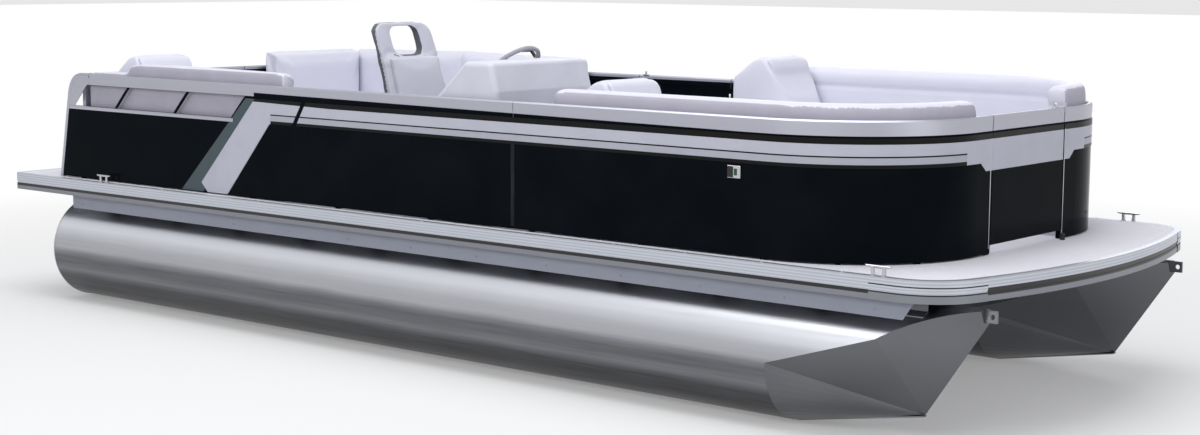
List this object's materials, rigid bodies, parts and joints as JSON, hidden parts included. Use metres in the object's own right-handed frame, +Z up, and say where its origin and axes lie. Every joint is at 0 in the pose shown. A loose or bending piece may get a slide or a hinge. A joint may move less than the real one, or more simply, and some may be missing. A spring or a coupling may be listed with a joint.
{
  "type": "pontoon boat",
  "caption": "Twin-tube pontoon boat with a fenced deck, inward-opening gates, lounges with hinged locker lids, swivelling helm chair and console.",
  "frame": {"origin": "on the floor under the middle of the deck, level with the undersides of the tubes' keel strips", "axes": "+X towards the bow, +Y to port, +Z up"},
  "size_m": [7.05, 2.596, 1.81],
  "materials": {
    "band_grey": "satin pale grey",
    "base_shell": "rotationally moulded",
    "black_rubber": "moulded",
    "bright_metal": "polished",
    "brushed_hull": "brushed bare aluminium",
    "chair_vinyl": "marine vinyl upholstery",
    "console_shell": "moulded shell",
    "control_black": "moulded",
    "deck_vinyl": "pale woven vinyl covering over plywood",
    "edge_metal": "satin anodised",
    "fence_black": "gloss black with a bright top rail",
    "frame_metal": "mill finish",
    "skirt_grey": "satin blue-grey",
    "vinyl": "marine vinyl upholstery",
    "wheel_grip": "stitched grip"
  },
  "bodies": {
    "hull": {"aft_port_back": "vinyl", "aft_port_base": "base_shell", "aft_port_corner_seat": "vinyl", "aft_port_return_back": "vinyl", "aft_starboard_back": "vinyl", "aft_starboard_base": "base_shell", "aft_starboard_bolster": "vinyl", "band_port": "band_grey", "band_starboard": "band_grey", "bow_corner_cap_port": "edge_metal", "bow_corner_cap_starboard": "edge_metal", "bow_port_back": "vinyl", "bow_port_base": "base_shell", "bow_port_bolster": "vinyl", "bow_port_corner_seat": "vinyl", "bow_starboard_back": "vinyl", "bow_starboard_base": "base_shell", "bow_starboard_bolster": "vinyl", "bow_starboard_corner_seat": "vinyl", "chair_pedestal": "frame_metal", "cleats": "bright_metal", "cross_members": "frame_metal", "deck_panel": "deck_vinyl", "edge_rail_bow": "edge_metal", "edge_rail_port": "edge_metal", "edge_rail_starboard": "edge_metal", "edge_rail_stern": "edge_metal", "fence_port_aft": "fence_black", "fence_port_bow": "fence_black", "fence_starboard_aft": "fence_black", "fence_starboard_bow": "fence_black", "fence_stern_port": "fence_black", "fence_stern_starboard": "fence_black", "gate_stop": "black_rubber", "helm_console": "console_shell", "motor_pod": "frame_metal", "riser_port": "frame_metal", "riser_starboard": "frame_metal", "side_lights": "bright_metal", "skirt_port": "skirt_grey", "skirt_starboard": "skirt_grey", "throttle": "control_black", "transom": "frame_metal", "tube_port": "brushed_hull", "tube_starboard": "brushed_hull"},
    "bow_gate": {"bow_gate": "fence_black"},
    "side_gate": {"side_gate": "fence_black"},
    "stern_gate": {"stern_gate": "fence_black"},
    "steering": {"steering_wheel": "wheel_grip"},
    "helm_chair": {"chair_shell": "chair_vinyl", "chair_cushions": "vinyl"},
    "bow_starboard_locker_lid": {"bow_starboard_lid": "vinyl"},
    "bow_port_locker_lid": {"bow_port_lid": "vinyl"},
    "aft_starboard_locker_lid": {"aft_starboard_lid": "vinyl"},
    "aft_port_locker_lid": {"aft_port_lid": "vinyl"}
  },
  "joints": [
    {"name": "bow_gate_hinge", "type": "hinge", "parent": "hull", "child": "bow_gate", "pos_m": [3.008, -0.368, 1.1], "axis": [0, 0, 1], "range_deg": [0, 90]},
    {"name": "side_gate_hinge", "type": "hinge", "parent": "hull", "child": "side_gate", "pos_m": [0.4, 1.182, 1.1], "axis": [0, 0, 1], "range_deg": [0, 90]},
    {"name": "stern_gate_hinge", "type": "hinge", "parent": "hull", "child": "stern_gate", "pos_m": [-2.863, 0.1, 1.1], "axis": [0, 0, 1], "range_deg": [0, 90]},
    {"name": "steering_turn", "type": "hinge", "parent": "hull", "child": "steering", "pos_m": [0.2635, -0.6, 1.5235], "axis": [-0.6743, 0, 0.7385], "range_deg": [-720, 720]},
    {"name": "helm_chair_swivel", "type": "hinge", "parent": "hull", "child": "helm_chair", "pos_m": [-0.33, -0.6, 1], "axis": [0, 0, 1], "continuous": true},
    {"name": "bow_starboard_lid_hinge", "type": "hinge", "parent": "hull", "child": "bow_starboard_locker_lid", "pos_m": [1.6, -1.059, 1.2033], "axis": [1, 0, 0], "range_deg": [0, 80]},
    {"name": "bow_port_lid_hinge", "type": "hinge", "parent": "hull", "child": "bow_port_locker_lid", "pos_m": [1.6, 1.059, 1.2033], "axis": [-1, 0, 0], "range_deg": [0, 80]},
    {"name": "aft_starboard_lid_hinge", "type": "hinge", "parent": "hull", "child": "aft_starboard_locker_lid", "pos_m": [-1.8, -1.059, 1.2033], "axis": [1, 0, 0], "range_deg": [0, 80]},
    {"name": "aft_port_lid_hinge", "type": "hinge", "parent": "hull", "child": "aft_port_locker_lid", "pos_m": [-1.5, 1.059, 1.2033], "axis": [-1, 0, 0], "range_deg": [0, 80]}
  ]
}
